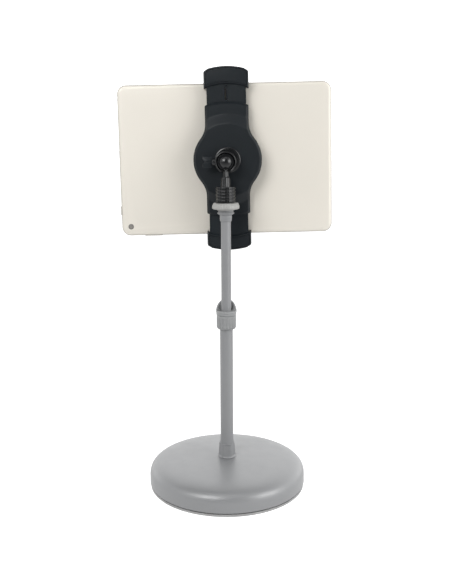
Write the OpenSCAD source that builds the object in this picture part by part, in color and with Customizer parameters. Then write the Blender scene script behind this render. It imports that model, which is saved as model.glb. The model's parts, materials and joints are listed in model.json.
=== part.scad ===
// Telescoping desk stand with a ball joint, a spring clamp and a tablet.
// +Z is up, +Y points from the clamp's back to its front, and the origin is
// the centre of the base's underside. The ball joint is drawn upright about the
// ball's centre and placed by head_frame(), and the clamp about its own axis,
// which is a little off the ball's, and placed by clamp_frame().

/* [Base] */
// Radius of the round base
base_r = 88; // [80:1:100]
// Height of the base at its centre
base_h = 31.5; // [28:0.5:36]
// Radius of the base's rounded shoulder
shoulder_r = 15; // [12:0.5:18]
// Thickness of the painted dome
dome_wall = 2; // [1.5:0.1:3]
// Thickness of the rubber pad under the base
pad_t = 3.5; // [2:0.5:4]

/* [Post] */
// Outer radius of the lower tube
low_tube_r = 7.3; // [7:0.05:8]
// Outer radius of the upper tube
up_tube_r = 5.54; // [5:0.01:5.6]
// Height of the underside of the clutch
clutch_z = 181; // [170:1:190]
// Height of the top of the clutch ring
clutch_top = 201.6; // [200:0.1:206]
// Outer radius of the clutch grip
grip_r = 10.95; // [10:0.05:12]
// Height of the bead at the top of the upper tube
bead_z = 311; // [305:1:315]

/* [Ball joint] */
// Height of the ball's centre
ball_z = 367; // [365:1:369]
// Radius of the ball
ball_r = 8.5; // [8.5:0.1:8.6]
// Outer radius of the knurled ferrule
ferrule_r = 11.1; // [10.8:0.1:12]
// Radius of the lock ring
ring_r = 15; // [13:0.5:16]
// Sideways lean of the clamp head in degrees
head_lean = 1; // [-5:0.5:5]

/* [Clamp] */
// Radius of the round middle of the housing
disc_r = 38; // [36:0.5:39]
// Width of the housing's two ends
end_w = 48.5; // [47:0.5:50]
// Half length of the housing, on its centre line
end_z = 64; // [62:0.5:66]
// Width of the sliding arms
arm_w = 43.5; // [42:0.5:43.5]
// Distance from the clamp's axis to the outer edge of a jaw
jaw_z = 102; // [100:0.2:105]
// Distance from the ball's centre to the clamp's axis, to the right
hub_x = 2.4; // [0:0.1:2.4]
// Distance from the ball's centre to the clamp's axis, upwards
hub_z = 1.3; // [0:0.1:1.3]
// Pitch radius of the pinion
pinion_r = 4; // [4:0.1:4.2]
// Number of teeth on the pinion
pinion_teeth = 10; // [10:2:10]

/* [Tablet] */
// Width of the tablet
tab_w = 240; // [230:1:250]
// Height of the tablet
tab_h = 169.5; // [168:0.5:169.5]
// Thickness of the tablet
tab_t = 6.5; // [6:0.1:6.8]
// Radius of the tablet's corners
tab_corner = 10; // [6:0.5:12]

/* [Hidden] */
$fn = 96;

// Small amount that lets a cut run past a face
eps = 0.5;
// Clearance of a running fit, and of two pieces that only touch
fit_gap = 0.06;
seat_gap = 0.02;

// Base
skirt_z = pad_t + 0.4;
side_z = 13;
plate_t = 2;
plate_top = pad_t + plate_t;
weight_r = 72;
weight_top = 18;
boss_r = 20;
bolt_r = 4.9;
bolt_hole_r = 5.2;
head_well_r = 13;
well_top = 14;
screw_ring_r = 50;
screw_r = 2;
post_z = base_h;
collar_h = 16.5;
collar_foot_r = 10.1;
collar_head_r = 8.8;
low_bore_r = 6.1;
low_tube_top = 186;
plug_top = 50;

// Clutch
sleeve_top = clutch_top - 4.8;
lever_r = grip_r + 0.65;
tab_inner_r = 9.3;
collet_r = 7.2;
collet_top = clutch_top - 1.6;

// Upper post
up_bore_r = 4.5;
up_tube_z = 145;
up_tube_top = bead_z + 1;
stud_neck_r = 8.25;
stud_r = 7.9;
stud_top = 334;
ring_z = bead_z + 3.5;
ring_top = ring_z + 7.9;

// Ferrule and ball
ferrule_z = 323;
ferrule_top = 340;
insert_r = 9.15;
tail_z = 335.6;
tail_top = 338;
sleeve_r = 5.3;
sleeve_end = 349.5;
neck_r = 3.5;
liner_r = 9.9;
socket_r = 11.65;
mouth_y = -5.6;
flange_r = 14.5;
flange_y = 10.5;
flange_end = 14.2;
slot_w = 10.5;
hub_r = 6;

// Clamp, depths along +Y from the ball's centre
plateau_y = flange_end + 0.3;
hub_end = plateau_y + 2.9;
ends_y = plateau_y + 6.5;
cover_wall = 2;
arm_y = ends_y + 3.1;
arm_t = 4;
split_y = ends_y + 9.8;
front_y = split_y + 2.2;
pad_y = front_y + 1.2;
plateau_r = 39.8;
slope_r = 50.4;
fillet_r = 25;
fillet_z = sqrt(pow(disc_r + fillet_r, 2) - pow(end_w / 2 + fillet_r, 2));
bow_r = 80;
boss_x = 30;
boss_z = 14;
travel = 25;
jaw_y = ends_y + 1;
jaw_end = jaw_y + 22;
jaw_side_z = 85.2;
pocket_z = 96;
spring_x = 14;
spring_r = 2.5;
spring_foot = -20;
plate_in = 34;
tongue_in = 5;
tongue_out = 10.5;
rail_w = 4.5;
rack_pitch = 2 * PI * pinion_r / pinion_teeth;

// Tablet
tab_y = pad_y + 0.3;
glass_t = 0.8;
shell_wall = 1.2;
tab_mid = tab_y + tab_t / 2;
lens_inset = 10.5;
lens_x = -tab_w / 2 + lens_inset;
lens_z = -tab_h / 2 + lens_inset;
lens_r = 3.15;
power_z = -56;
power_l = 10;
volume_x = -84;
volume_l = 20;
button_w = 2.2;
button_y = tab_y + 2.7;
button_gap = 0.15;
button_out = 0.5;
button_in = 0.9;

// Points on an arc about c from angle a to angle b
function arc(c, r, a, b, n) =
  [for (i = [0:n]) c + r * [cos(a + (b - a) * i / n), sin(a + (b - a) * i / n)]];

// Radius of the dome's sphere that meets the shoulder smoothly
function dome_radius(r, h, s) =
  let (c = r - s, d = h - side_z) (c * c + d * d - s * s) / (2 * (d - s));

// Profile of the dome's surface, moved inwards by t
function dome_outline(t) =
  let (
    big = dome_radius(base_r, base_h, shoulder_r),
    shoulder = [base_r - shoulder_r, side_z],
    top = [0, base_h - big],
    tilt = atan2(shoulder[1] - top[1], shoulder[0])
  )
  concat(
    arc(shoulder, shoulder_r - t, 0, tilt, 16),
    arc(top, big - t, tilt, 90 - asin(bolt_hole_r / big), 10)
  );

module tube(r, bore, z0, z1) {
  translate([0, 0, z0])
    difference() {
      cylinder(r = r, h = z1 - z0);
      translate([0, 0, -eps]) cylinder(r = bore, h = z1 - z0 + 2 * eps);
    }
}

module rod(r, z0, z1) {
  translate([0, 0, z0]) cylinder(r = r, h = z1 - z0);
}

// Cylinder along Y from y0 to y1
module rod_y(r, y0, y1) {
  translate([0, y0, 0]) rotate([-90, 0, 0]) cylinder(r = r, h = y1 - y0);
}

// Cone along Y from radius r0 at y0 to r1 at y1
module cone_y(r0, r1, y0, y1) {
  translate([0, y0, 0]) rotate([-90, 0, 0]) cylinder(r1 = r0, r2 = r1, h = y1 - y0);
}

// Cylinder along X from x0 to x1
module rod_x(r, x0, x1) {
  translate([x0, 0, 0]) rotate([0, 90, 0]) cylinder(r = r, h = x1 - x0);
}

// Flat outline in the X-Z plane, extruded from y0 to y1
module slab_y(y0, y1) {
  translate([0, y1, 0]) rotate([90, 0, 0]) linear_extrude(y1 - y0) children();
}

// Box from one corner to the other
module block(a, b) {
  translate(a) cube(b - a);
}

// The clamp head's own frame, about the ball's centre
module head_frame() {
  translate([0, 0, ball_z]) rotate([0, -head_lean, 0]) children();
}

// The clamp's own frame, about the axis of the socket's flange
module clamp_frame() {
  head_frame() translate([hub_x, 0, hub_z]) children();
}

// The tablet's own frame: it is held off the clamp's axis, over the post
module tablet_frame() {
  head_frame() translate([0, 0, hub_z]) children();
}

// ---- Base ----

module base_cover() {
  outer = dome_outline(0);
  inner = dome_outline(dome_wall);
  count = len(inner) - 1;
  color("darkgray")
    rotate_extrude($fn = 128)
      polygon(concat(
        [[base_r, skirt_z]],
        outer,
        [for (i = [0:count]) inner[count - i]],
        [[base_r - dome_wall, skirt_z]]
      ));
}

module base_weight() {
  color("dimgray")
    difference() {
      union() {
        rod(weight_r, plate_top, weight_top);
        rod(boss_r, weight_top, base_h - dome_wall - 0.3);
      }
      rod(bolt_hole_r, 0, base_h);
      rod(head_well_r, 0, well_top);
      plate_screw_places() rod(screw_r + fit_gap, 0, 14);
    }
}

module plate_screw_places() {
  for (i = [0:3])
    rotate([0, 0, 90 * i + 45])
      translate([screw_ring_r, 0, 0])
        children();
}

module bottom_plate() {
  color("silver")
    difference() {
      rod(base_r - dome_wall - 1, pad_t, plate_top);
      rod(head_well_r, 0, plate_top + eps);
      plate_screw_places()
        translate([0, 0, pad_t - 0.05])
          cylinder(r1 = 4.2, r2 = screw_r + 0.15, h = plate_t + 0.1, $fn = 32);
    }
}

module plate_screws() {
  color("gray")
    plate_screw_places() {
      translate([0, 0, pad_t + 0.05])
        cylinder(r1 = 4, r2 = screw_r, h = plate_t - 0.05, $fn = 32);
      rod(screw_r, plate_top, 13);
    }
}

module foot_pad() {
  color("dimgray") rod(base_r - 1.2, 0, pad_t);
}

module post_bolt() {
  color("gray") {
    rod(bolt_r, well_top - 2, plug_top - 5);
    translate([0, 0, well_top - 8]) cylinder(r = 9.6, h = 6, $fn = 6);
  }
}

module post_washer() {
  color("silver") tube(12, bolt_r + fit_gap, well_top - 2, well_top);
}

module post_plug() {
  color("silver") tube(low_bore_r - seat_gap, bolt_r + fit_gap, post_z, plug_top);
}

module base_collar() {
  taper = atan((collar_foot_r - collar_head_r) / collar_h);
  color("darkgray")
    difference() {
      rotate_extrude()
        polygon([
          [low_tube_r + seat_gap, post_z],
          [collar_foot_r, post_z],
          [collar_foot_r, post_z + 1],
          [collar_foot_r - 0.7, post_z + 1.8],
          [collar_head_r, post_z + collar_h - 1],
          [collar_head_r - 0.5, post_z + collar_h],
          [low_tube_r + seat_gap, post_z + collar_h]
        ]);
      for (i = [0:5])
        rotate([0, 0, 60 * i + 30])
          translate([collar_foot_r * 0.9, -15, post_z + 2.2])
            rotate([0, -taper, 0])
              cube([10, 30, collar_h * 2]);
    }
}

module lower_tube() {
  color("darkgray") tube(low_tube_r, low_bore_r, post_z, low_tube_top);
}

// ---- Clutch ----

module clutch_body() {
  round = 3;
  flutes = 10;
  color("darkgray")
    difference() {
      rotate_extrude()
        polygon(concat(
          [[low_tube_r + seat_gap, clutch_z]],
          arc([grip_r - round, clutch_z + round], round, -90, 0, 8),
          [[grip_r, sleeve_top], [low_tube_r + seat_gap, sleeve_top]]
        ));
      for (i = [0:flutes - 1])
        rotate([0, 0, 360 / flutes * (i + 0.5)])
          translate([grip_r + 1.6, 0, clutch_z - eps])
            cylinder(r = 2.2, h = sleeve_top - clutch_z - 1, $fn = 32);
    }
}

module clutch_collet() {
  slit_w = 1.2;
  color("white")
    difference() {
      tube(collet_r, up_tube_r + fit_gap, low_tube_top + 0.2, collet_top);
      for (i = [0:2])
        rotate([0, 0, 120 * i])
          translate([0, -slit_w / 2, low_tube_top + 3])
            cube([grip_r, slit_w, collet_top]);
    }
}

module clutch_lever() {
  color("darkgray")
    difference() {
      union() {
        rod(lever_r, sleeve_top + 0.3, clutch_top);
        intersection() {
          rod(lever_r, clutch_top - eps, clutch_top + lever_r);
          translate([0, 0, clutch_top]) rod_y(lever_r, 0, lever_r + eps);
        }
      }
      rod(collet_r + 0.2, clutch_z, collet_top + 0.3);
      rod(up_tube_r + 0.35, clutch_z, clutch_top + 1);
      rod(tab_inner_r, clutch_top, clutch_top + lever_r + eps);
    }
}

// ---- Upper post ----

module upper_tube() {
  color("darkgray") tube(up_tube_r, up_bore_r, up_tube_z, up_tube_top);
}

module guide_bush() {
  color("white") tube(low_bore_r - 0.05, up_tube_r + seat_gap, up_tube_z, up_tube_z + 12);
}

module top_stud() {
  thread_turns = 12;
  pitch = 0.94;
  color("silver")
    difference() {
      rotate_extrude()
        polygon([
          [0, up_tube_top + seat_gap],
          [up_tube_r + seat_gap, up_tube_top + seat_gap],
          [up_tube_r + seat_gap, bead_z - 9],
          [6.2, bead_z - 9],
          [6.6, bead_z - 7.5],
          [6.6, bead_z - 2.2],
          [9.3, bead_z - 0.4],
          [9.3, bead_z + 0.6],
          [stud_neck_r, bead_z + 1.6],
          [stud_neck_r, ring_z - 0.1],
          [stud_r, ring_z - 0.1],
          [stud_r, stud_top - 0.8],
          [stud_r - 0.8, stud_top],
          [0, stud_top]
        ]);
      for (i = [0:thread_turns - 1])
        rotate_extrude()
          translate([stud_r, ring_top + 0.6 + i * pitch])
            circle(r = 0.3, $fn = 4);
    }
}

module lock_ring() {
  knurls = 30;
  bore = stud_r + fit_gap;
  rim_z = ring_z + 1.4;
  color("gainsboro")
    difference() {
      rotate_extrude()
        polygon([
          [bore, ring_z],
          [8.5, ring_z],
          [8.5, rim_z],
          [13.4, rim_z],
          [ring_r - 0.4, rim_z + 1],
          [ring_r, rim_z + 2],
          [ring_r - 0.3, rim_z + 3.2],
          [12.2, ring_top],
          [bore, ring_top]
        ]);
      for (i = [0:knurls - 1])
        rotate([0, 0, 360 / knurls * i])
          translate([ring_r, 0, rim_z + 2.6])
            rotate([0, -38, 0])
              cylinder(r = 0.55, h = 6, $fn = 4);
    }
}

// ---- Ball joint ----

module ferrule() {
  grooves = 24;
  rows = 5;
  depth = 0.55;
  row_h = (ferrule_top - ferrule_z) / rows;
  color("#26282a")
    difference() {
      rod(ferrule_r, ferrule_z, ferrule_top);
      rod(insert_r + seat_gap, ferrule_z - eps, tail_top);
      rod(sleeve_r + seat_gap, ferrule_z, ferrule_top + eps);
      for (i = [0:grooves - 1])
        rotate([0, 0, 360 / grooves * i])
          translate([ferrule_r - depth, -0.45, ferrule_z - eps])
            cube([2, 0.9, ferrule_top]);
      for (i = [1:rows - 1])
        tube(ferrule_r + 1, ferrule_r - depth, ferrule_z + i * row_h - 0.4, ferrule_z + i * row_h + 0.4);
    }
}

module thread_insert() {
  color("goldenrod") tube(insert_r, stud_r + fit_gap, ferrule_z + 0.2, tail_z - 0.1);
}

module ball_stud() {
  color("#26282a")
    rotate_extrude()
      polygon(concat(
        [
          [0, tail_z],
          [insert_r, tail_z],
          [insert_r, tail_top],
          [sleeve_r, tail_top],
          [sleeve_r, sleeve_end],
          [neck_r, sleeve_end + 0.6]
        ],
        arc([0, ball_z], ball_r, -90 + asin(neck_r / ball_r), 90, 24)
      ));
}

module ball_liner() {
  gap_half = 4.1;
  color("whitesmoke")
    translate([0, 0, ball_z])
      difference() {
        sphere(r = liner_r);
        sphere(r = ball_r + fit_gap);
        block([-20, -20, -20], [20, -4.6, 20]);
        block([-gap_half, -20, -20], [gap_half, 4.3, gap_half]);
      }
}

module socket() {
  color("#26282a")
    head_frame()
      difference() {
        union() {
          rod_y(socket_r, mouth_y, flange_y + eps);
          translate([hub_x, 0, hub_z]) {
            rod_y(flange_r, flange_y, flange_end);
            rod_y(hub_r, flange_end - eps, hub_end);
          }
          rod_x(4.2, -14.3, -9);
        }
        sphere(r = liner_r + fit_gap);
        cone_y(9.3, 8, mouth_y - 0.01, mouth_y + 1);
        block([-slot_w / 2, mouth_y - 1, -20], [slot_w / 2, 4.7, 0]);
        rod_x(2.5 + fit_gap, -20, -5);
        translate([hub_x, 0, hub_z]) rod_y(1.6, hub_end - 4.2, hub_end + eps);
      }
}

module wing_screw() {
  thick = 2.6;
  color("#26282a")
    head_frame() {
      rod_x(2.5, -18, -10.2);
      rod_x(3.4, -18, -14.6);
      slab_y(-thick / 2, thick / 2)
        union() {
          polygon([
            [-15.2, -5.6], [-14.9, 5.6], [-23.4, 6.1], [-25, 4.8],
            [-22.4, 0], [-25, -4.8], [-23.4, -6.1]
          ]);
          translate([-23.3, 4.4]) circle(r = 1.7);
          translate([-23.3, -4.4]) circle(r = 1.7);
        }
    }
}

module hub_washer() {
  color("silver")
    clamp_frame()
      difference() {
        rod_y(9.5, hub_end, hub_end + 1.2);
        rod_y(1.6 + fit_gap, hub_end - eps, hub_end + 2);
      }
}

module hub_screw() {
  color("silver")
    clamp_frame() {
      rod_y(1.6 - seat_gap, hub_end - 4, hub_end + 1.2);
      rod_y(3.4, hub_end + 1.2, hub_end + 3.4);
    }
}

// ---- Clamp housing ----

// Outline of the housing in the X-Z plane, moved inwards by t
module housing_outline(t) {
  half_w = end_w / 2;
  union() {
    circle(r = disc_r - t);
    intersection() {
      square([end_w - 2 * t, 3 * end_z], center = true);
      translate([0, end_z - bow_r]) circle(r = bow_r - t, $fn = 128);
      translate([0, bow_r - end_z]) circle(r = bow_r - t, $fn = 128);
    }
    difference() {
      square([2 * (half_w + 6), 2 * fillet_z], center = true);
      for (x = [-1, 1])
        for (z = [-1, 1])
          translate([x * (half_w + fillet_r), z * fillet_z]) circle(r = fillet_r + t);
    }
  }
}

module boss_places() {
  for (x = [-1, 1])
    for (z = [-1, 1])
      translate([x * boss_x, 0, z * boss_z])
        children();
}

// Raised middle of the back cover, moved inwards by t
module plateau(t) {
  intersection() {
    slab_y(plateau_y + t, ends_y + cover_wall + eps) housing_outline(t);
    cone_y(plateau_r - t, slope_r - t, plateau_y + t, ends_y + t);
  }
}

module back_cover() {
  color("#292e31")
    clamp_frame() {
      difference() {
        union() {
          slab_y(ends_y, split_y) housing_outline(0);
          plateau(0);
        }
        slab_y(ends_y + cover_wall, split_y + eps) housing_outline(cover_wall);
        plateau(cover_wall);
        rod_y(hub_r + fit_gap, plateau_y - eps, hub_end);
        block([-arm_w / 2 - 0.2, arm_y - 0.2, -100], [arm_w / 2 + 0.2, arm_y + arm_t + 0.2, 100]);
      }
      boss_places()
        difference() {
          rod_y(3.4, plateau_y + cover_wall - eps, split_y);
          rod_y(1.5 + fit_gap, ends_y - 2, split_y + eps);
        }
      for (side = [-1, 1])
        translate([side * spring_x, 0, side * (-spring_foot + 2)])
          rod_y(1.4, plateau_y + cover_wall - eps, split_y - 2.2);
    }
}

module front_cover() {
  color("#292e31")
    clamp_frame()
      difference() {
        slab_y(split_y, front_y) housing_outline(0.15);
        boss_places() rod_y(1.5 + fit_gap, split_y - eps, front_y + eps);
        boss_places() rod_y(3.2, front_y - 1.2, front_y + eps);
        rod_y(1.5 + seat_gap, split_y - eps, front_y - 0.8);
      }
}

module cover_screws() {
  color("gray")
    clamp_frame()
      boss_places() {
        rod_y(1.5, ends_y, front_y - 1.2);
        rod_y(3, front_y - 1.2, front_y - 0.1);
      }
}

module front_pads() {
  color("#1b1c1d")
    clamp_frame()
      for (z = [-1, 1])
        slab_y(front_y, pad_y)
          translate([0, z * 44])
            square([38, 16], center = true);
}

// ---- Arms and jaws, drawn for the upper side ----

// Teeth of a rack on the inner edge of the tongue at the left
module rack_teeth(z0, z1) {
  first = ceil(z0 / rack_pitch);
  last = floor(z1 / rack_pitch) - 1;
  for (i = [first:last])
    translate([0, (i + 0.5) * rack_pitch])
      polygon([
        [-tongue_in - eps, -0.8], [-tongue_in, -0.75], [-pinion_r + 0.7, -0.3],
        [-pinion_r + 0.7, 0.3], [-tongue_in, 0.75], [-tongue_in - eps, 0.8]
      ]);
}

module arm_half() {
  half = arm_w / 2;
  foot = -travel - 6;
  color("#2b3033")
    difference() {
      slab_y(arm_y, arm_y + arm_t)
        union() {
          translate([-half, plate_in]) square([arm_w, pocket_z - 0.3 - plate_in]);
          translate([-half, 6]) square([rail_w, plate_in]);
          translate([half - rail_w, 6]) square([rail_w, plate_in]);
          translate([-tongue_out, foot]) square([tongue_out - tongue_in, plate_in - foot + 1]);
          rack_teeth(foot, plate_in - 1);
        }
      translate([0, 0, 79.8]) rod_y(2.2, arm_y - eps, arm_y + arm_t + eps);
      block([-1.7, arm_y - eps, 66], [1.7, arm_y + arm_t + eps, 79.8]);
      for (x = [-2.7, 2.7])
        translate([x, 0, 84.4]) rod_y(1.3, arm_y - eps, arm_y + 1.5);
    }
}

// Outline of a jaw in the X-Z plane
module jaw_outline() {
  half = end_w / 2;
  corner = 4;
  low = 78;
  difference() {
    intersection() {
      translate([0, jaw_z - bow_r]) circle(r = bow_r, $fn = 128);
      union() {
        translate([-half, low]) square([end_w, 16]);
        for (x = [-1, 1])
          translate([x * (half - corner), jaw_z - 8]) circle(r = corner);
        translate([-half + corner, low]) square([end_w - 2 * corner, 30]);
      }
    }
    translate([0, jaw_side_z - 68]) circle(r = 68, $fn = 128);
  }
}

module jaw_half() {
  color("#2a2f32")
    difference() {
      slab_y(jaw_y, jaw_end) jaw_outline();
      block(
        [-arm_w / 2 - seat_gap, arm_y - seat_gap, 70],
        [arm_w / 2 + seat_gap, arm_y + arm_t + seat_gap, pocket_z]
      );
      block([-30, tab_y - 0.8, 70], [30, tab_y + tab_t + 0.9, 87]);
      block([-30, tab_y - 0.8, 70], [30, tab_y + 1, 85]);
    }
}

module pad_half() {
  color("#1b1c1d")
    block(
      [-end_w / 2 + 2, tab_y - 0.75, 85.05],
      [end_w / 2 - 2, tab_y + tab_t + 0.85, 86.98]
    );
}

module upper_arm() {
  clamp_frame() arm_half();
}

module upper_jaw() {
  clamp_frame() jaw_half();
}

module upper_pad() {
  clamp_frame() pad_half();
}

module lower_arm() {
  clamp_frame() rotate([0, 180, 0]) arm_half();
}

module lower_jaw() {
  clamp_frame() rotate([0, 180, 0]) jaw_half();
}

module lower_pad() {
  clamp_frame() rotate([0, 180, 0]) pad_half();
}

module pinion() {
  color("whitesmoke")
    clamp_frame()
      slab_y(arm_y + 0.2, arm_y + arm_t - 0.2)
        difference() {
          union() {
            circle(r = pinion_r - 1);
            for (i = [0:pinion_teeth - 1])
              rotate([0, 0, 360 / pinion_teeth * i])
                polygon([
                  [0, -0.75], [pinion_r - 1, -0.75], [pinion_r + 0.65, -0.28],
                  [pinion_r + 0.65, 0.28], [pinion_r - 1, 0.75], [0, 0.75]
                ]);
          }
          circle(r = 1.5 + fit_gap);
        }
}

module pinion_pin() {
  color("silver") clamp_frame() rod_y(1.5, arm_y - 1.2, front_y - 0.9);
}

// Coil spring, drawn as the tube that its close turns make
module spring_tube() {
  color("silver")
    clamp_frame()
      translate([-spring_x, arm_y + arm_t / 2, 0])
        tube(spring_r, spring_r - 0.8, spring_foot, plate_in - 0.2);
}

module upper_spring() {
  spring_tube();
}

module lower_spring() {
  color("silver")
    clamp_frame()
      rotate([0, 180, 0])
        translate([-spring_x, arm_y + arm_t / 2, 0])
          tube(spring_r, spring_r - 0.8, spring_foot, plate_in - 0.2);
}

// ---- Tablet ----

// Outline of the tablet in the X-Z plane, moved inwards by t
module tablet_outline(t) {
  half_w = tab_w / 2 - tab_corner;
  half_h = tab_h / 2 - tab_corner;
  union() {
    square([tab_w - 2 * t, 2 * half_h], center = true);
    square([2 * half_w, tab_h - 2 * t], center = true);
    for (x = [-1, 1])
      for (z = [-1, 1])
        translate([x * half_w, z * half_h]) circle(r = tab_corner - t, $fn = 64);
  }
}

module tablet_shell() {
  front = tab_y + tab_t - glass_t;
  color("#dcd7c9")
    tablet_frame()
      difference() {
        slab_y(tab_y, tab_y + tab_t) tablet_outline(0);
        slab_y(tab_y + shell_wall, front) tablet_outline(3);
        slab_y(front - 0.01, tab_y + tab_t + eps) tablet_outline(1);
        translate([lens_x, 0, lens_z]) rod_y(lens_r, tab_y - eps, tab_y + shell_wall + eps);
        block(
          [-tab_w / 2 - eps, button_y - button_w / 2 - button_gap, power_z - power_l / 2 - button_gap],
          [-tab_w / 2 + 2, button_y + button_w / 2 + button_gap, power_z + power_l / 2 + button_gap]
        );
        block(
          [volume_x - volume_l / 2 - button_gap, button_y - button_w / 2 - button_gap, -tab_h / 2 - eps],
          [volume_x + volume_l / 2 + button_gap, button_y + button_w / 2 + button_gap, -tab_h / 2 + 2]
        );
        translate([0, tab_mid, 0]) block([tab_w / 2 - 2.4, -1.3, -3], [tab_w / 2 + eps, 1.3, 3]);
        for (z = [-3, 3])
          translate([0, tab_mid, z]) rod_x(1.3, tab_w / 2 - 2.4, tab_w / 2 + eps);
        translate([0, tab_mid, 71.5]) rod_x(1.75, -tab_w / 2 - eps, -tab_w / 2 + 2.4);
      }
}

module tablet_core() {
  color("#3a3f4a")
    tablet_frame()
      difference() {
        slab_y(tab_y + shell_wall + 0.1, tab_y + tab_t - glass_t - 0.1) tablet_outline(3.2);
        translate([lens_x, 0, lens_z]) rod_y(lens_r + 0.5, tab_y, tab_y + 3);
      }
}

module tablet_glass() {
  color("#f2f2f0")
    tablet_frame()
      slab_y(tab_y + tab_t - glass_t, tab_y + tab_t) tablet_outline(1.05);
}

module lens_ring() {
  color("#96938e")
    tablet_frame()
      translate([lens_x, 0, lens_z])
        difference() {
          rod_y(lens_r - seat_gap, tab_y - 0.25, tab_y + shell_wall);
          rod_y(lens_r - 0.7, tab_y - eps, tab_y + shell_wall + eps);
        }
}

module lens_window() {
  color("#15171c")
    tablet_frame()
      translate([lens_x, 0, lens_z])
        rod_y(lens_r - 0.7 - seat_gap, tab_y - 0.05, tab_y + shell_wall);
}

module power_button() {
  color("#dcd7c9")
    tablet_frame()
      block(
        [-tab_w / 2 - button_out, button_y - button_w / 2, power_z - power_l / 2],
        [-tab_w / 2 + button_in, button_y + button_w / 2, power_z + power_l / 2]
      );
}

module volume_rocker() {
  color("#dcd7c9")
    tablet_frame()
      block(
        [volume_x - volume_l / 2, button_y - button_w / 2, -tab_h / 2 - button_out],
        [volume_x + volume_l / 2, button_y + button_w / 2, -tab_h / 2 + button_in]
      );
}

base_cover();
base_weight();
bottom_plate();
plate_screws();
foot_pad();
post_bolt();
post_washer();
post_plug();
base_collar();
lower_tube();
clutch_body();
clutch_collet();
clutch_lever();
upper_tube();
guide_bush();
top_stud();
lock_ring();
ferrule();
thread_insert();
ball_stud();
ball_liner();
socket();
wing_screw();
hub_washer();
hub_screw();
back_cover();
front_cover();
cover_screws();
front_pads();
upper_arm();
upper_jaw();
upper_pad();
lower_arm();
lower_jaw();
lower_pad();
pinion();
pinion_pin();
upper_spring();
lower_spring();
tablet_shell();
tablet_core();
tablet_glass();
lens_ring();
lens_window();
power_button();
volume_rocker();
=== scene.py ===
import json
import math

import bmesh
import bpy
from mathutils import Matrix, Vector


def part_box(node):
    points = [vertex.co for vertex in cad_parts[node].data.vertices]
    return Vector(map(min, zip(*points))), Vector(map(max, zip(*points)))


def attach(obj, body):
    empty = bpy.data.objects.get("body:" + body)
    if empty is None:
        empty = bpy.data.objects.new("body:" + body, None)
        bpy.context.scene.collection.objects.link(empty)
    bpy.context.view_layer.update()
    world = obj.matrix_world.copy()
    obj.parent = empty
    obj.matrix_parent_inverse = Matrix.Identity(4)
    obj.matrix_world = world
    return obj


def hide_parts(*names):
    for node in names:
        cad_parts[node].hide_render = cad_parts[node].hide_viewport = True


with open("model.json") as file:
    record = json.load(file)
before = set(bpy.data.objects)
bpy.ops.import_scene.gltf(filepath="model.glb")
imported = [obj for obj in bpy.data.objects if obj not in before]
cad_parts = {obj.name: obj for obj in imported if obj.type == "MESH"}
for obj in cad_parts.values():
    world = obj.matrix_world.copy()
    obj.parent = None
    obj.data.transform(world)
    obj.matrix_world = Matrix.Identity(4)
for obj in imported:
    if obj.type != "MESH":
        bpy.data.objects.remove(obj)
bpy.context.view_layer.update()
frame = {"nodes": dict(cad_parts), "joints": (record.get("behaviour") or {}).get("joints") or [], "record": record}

MM = 0.001
TURN = 2 * math.pi
# Turned shapes stop this close to their axis.
POLE = 0.1 * MM
# Clearance between pieces that fit together.
FIT = 0.02 * MM

# The camera stands in front of the post and looks slightly down at it.
CAMERA_BACK = 0.8852
CAMERA_UP = 0.4074
CAMERA_PITCH = math.radians(8.58)
CAMERA_ROLL = math.radians(-0.29)
LENS_MM = 49.98
LENS_SHIFT_Y = -0.0777


# -------------------------------- the frame

joints = {j["name"]: j for j in frame["joints"]}
ball = Vector(joints["ball_tilt"]["pos_m"])
head_up = Vector(joints["upper_arm_slide"]["axis"]).normalized()
head_side = Vector(joints["tablet_shift"]["axis"]).normalized()
head_back = head_up.cross(head_side)
# Columns are the clamp head's own X, Y and Z, from the ball's centre.
HEAD = Matrix.Translation(ball) @ Matrix(
    (head_side, head_back, head_up)
).transposed().to_4x4()
# The clamp turns about the hub's axis, which is a little off the ball's.
hub = HEAD.inverted() @ Vector(joints["portrait_turn"]["pos_m"])
CLAMP = HEAD @ Matrix.Translation((hub.x, 0, hub.z))
TABLET = HEAD @ Matrix.Translation((0, 0, hub.z))
# These turn a lathe's Z axis into the head's +Y or +X.
Z_TO_Y = Matrix.Rotation(-math.pi / 2, 4, "X")
Z_TO_X = Matrix.Rotation(math.pi / 2, 4, "Y")


def top(node):
    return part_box(node)[1].z


def bottom(node):
    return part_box(node)[0].z


def radius(node):
    low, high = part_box(node)
    return (high.y - low.y) / 2


def measure(node):
    return radius(node), bottom(node), top(node)


def own_box(node, place):
    """A node's lowest and highest corners in the axes of HEAD, CLAMP or TABLET."""
    inverse = place.inverted()
    points = [inverse @ v.co for v in frame["nodes"][node].data.vertices]
    low = Vector([min(p[i] for p in points) for i in range(3)])
    high = Vector([max(p[i] for p in points) for i in range(3)])
    return low, high


glass_low, glass_high = own_box("tablet_glass", TABLET)
shell_low, shell_high = own_box("tablet_shell", TABLET)
lens_low, lens_high = own_box("lens_ring", TABLET)
lens_at = (lens_low + lens_high) / 2
lens_r = (lens_high.x - lens_low.x) / 2


# -------------------------------- materials

# A colour Mix node's factor and two colours among its inputs, and its result's place.
MIX_INPUTS = (0, 6, 7)
MIX_RESULT = 2


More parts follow.
